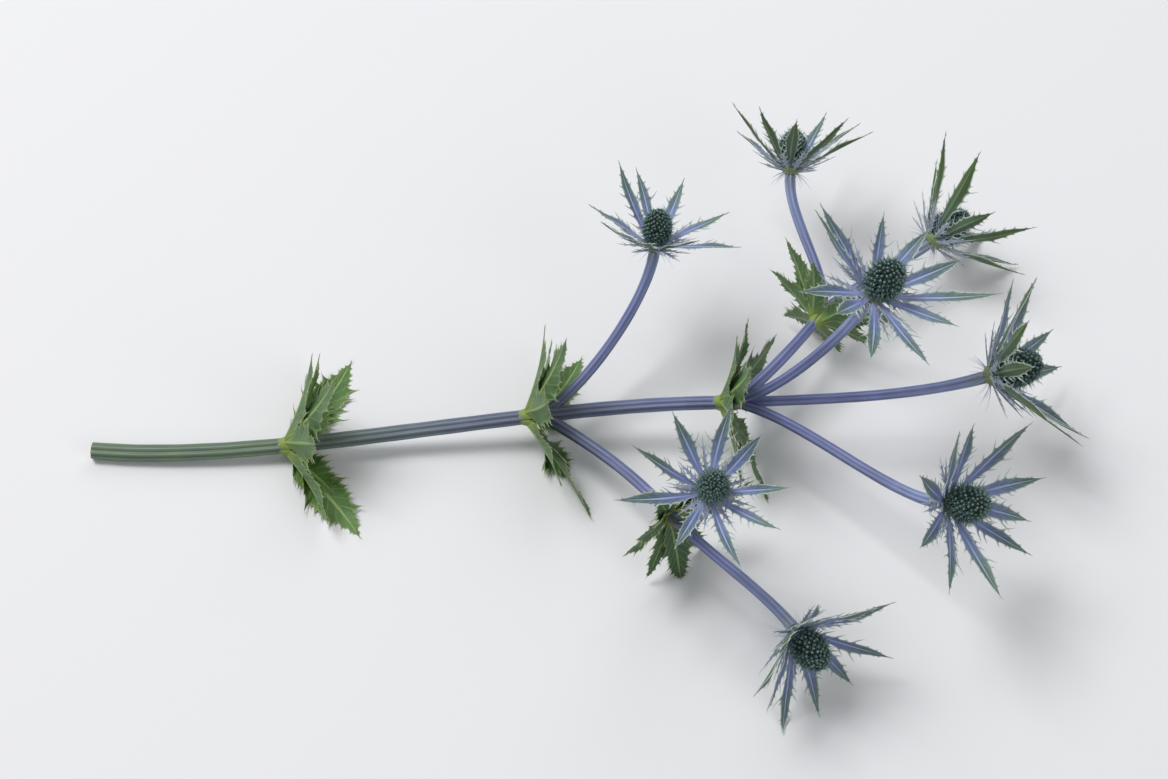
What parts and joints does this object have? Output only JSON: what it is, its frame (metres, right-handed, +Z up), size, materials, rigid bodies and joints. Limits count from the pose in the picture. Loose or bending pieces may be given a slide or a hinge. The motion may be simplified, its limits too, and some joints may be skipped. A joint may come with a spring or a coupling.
{
  "type": "sea holly stem",
  "caption": "Cut sea holly stem lying on its side, with blue star-shaped spiny heads round dark cones on forking violet stalks and toothed green leaves clasping the forks.",
  "frame": {"origin": "on the surface that the stem lies on, below the middle of its bounding box", "axes": "+X along the stem from its cut end to its heads, +Z up from the surface"},
  "size_m": [0.6024, 0.4173, 0.1661],
  "materials": {
    "stem": "fresh ribbed stalk, pale green at the foot, blue-violet above, satin",
    "bract": "waxy blue bract with pale midrib and pale spiny edge, green underneath",
    "cone": "dark teal-green florets with pale spiny tips, matt",
    "leaf": "green leaf with pale veins and spiny teeth, satin"
  },
  "bodies": {
    "root": {"stem": "stem", "head_1_bracts": "bract", "head_1_cone": "cone", "head_2_bracts": "bract", "head_2_cone": "cone", "head_3_bracts": "bract", "head_3_cone": "cone", "head_4_bracts": "bract", "head_4_cone": "cone", "head_5_bracts": "bract", "head_5_cone": "cone", "head_6_bracts": "bract", "head_6_cone": "cone", "head_7_bracts": "bract", "head_7_cone": "cone", "head_8_bracts": "bract", "head_8_cone": "cone", "leaf_lower_1": "leaf", "leaf_lower_2": "leaf", "leaf_lower_3": "leaf", "leaf_middle_1": "leaf", "leaf_middle_2": "leaf", "leaf_middle_3": "leaf", "leaf_upper_1": "leaf", "leaf_upper_2": "leaf", "leaf_upper_3": "leaf", "leaf_side_a_1": "leaf", "leaf_side_a_2": "leaf", "leaf_side_a_3": "leaf", "leaf_side_b_1": "leaf", "leaf_side_b_2": "leaf", "leaf_side_b_3": "leaf"}
  },
  "joints": []
}
